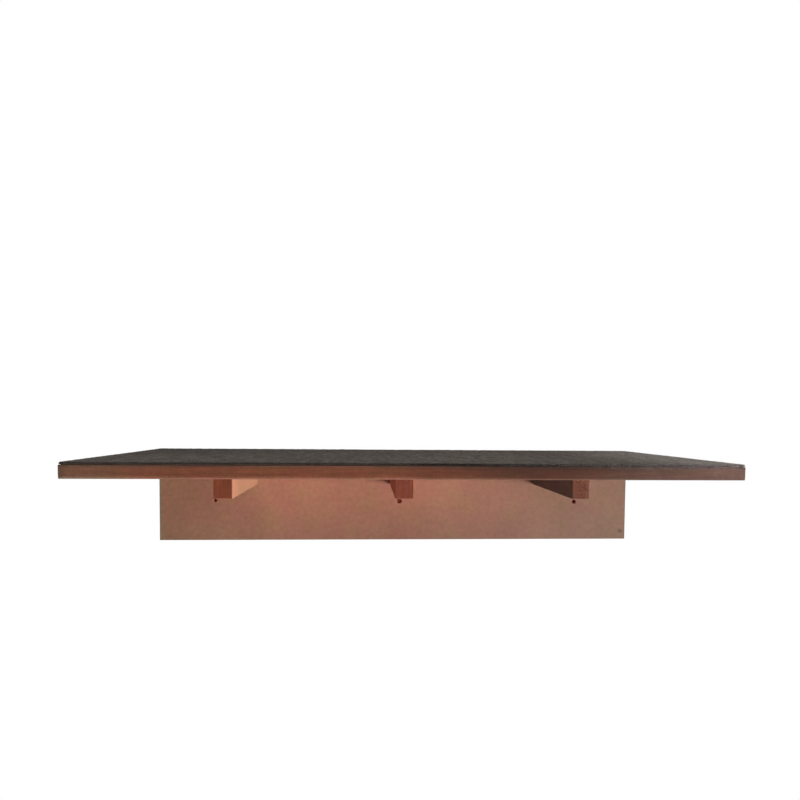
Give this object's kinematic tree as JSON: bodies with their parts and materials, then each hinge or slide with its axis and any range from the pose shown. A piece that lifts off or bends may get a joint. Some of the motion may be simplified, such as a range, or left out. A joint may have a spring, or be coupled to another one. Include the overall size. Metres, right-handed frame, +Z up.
{
  "type": "cat wall shelf",
  "caption": "Wall shelf for a cat to lie on: a carpeted board on short supports and a low back board that fastens flat to the wall.",
  "frame": {"origin": "on the back board's rear face, at the wall, half way along its length and 33 mm below the deck's underside", "axes": "+X to the right as seen from the room, +Y from the shelf into the wall, +Z up"},
  "size_m": [0.6, 0.25, 0.1146],
  "materials": {
    "deck_mdf": "raw MDF, sawn reddish-brown edges",
    "board_mdf": "raw MDF, smooth mottled face",
    "support_mdf": "raw MDF, sawn",
    "charcoal_felt": "needle-felt carpet",
    "zinc_steel": "zinc-plated"
  },
  "bodies": {
    "root": {"deck_board": "deck_mdf", "deck_carpet": "charcoal_felt", "back_board": "board_mdf", "support_left": "support_mdf", "support_middle": "support_mdf", "support_right": "support_mdf", "deck_to_board_screw_1": "zinc_steel", "deck_to_board_screw_2": "zinc_steel", "deck_to_board_screw_3": "zinc_steel", "deck_to_board_screw_4": "zinc_steel", "deck_to_support_screw_left_front": "zinc_steel", "deck_to_support_screw_left_rear": "zinc_steel", "deck_to_support_screw_middle_front": "zinc_steel", "deck_to_support_screw_middle_rear": "zinc_steel", "deck_to_support_screw_right_front": "zinc_steel", "deck_to_support_screw_right_rear": "zinc_steel", "board_to_support_screw_left": "zinc_steel", "board_to_support_screw_middle": "zinc_steel", "board_to_support_screw_right": "zinc_steel"}
  },
  "joints": []
}
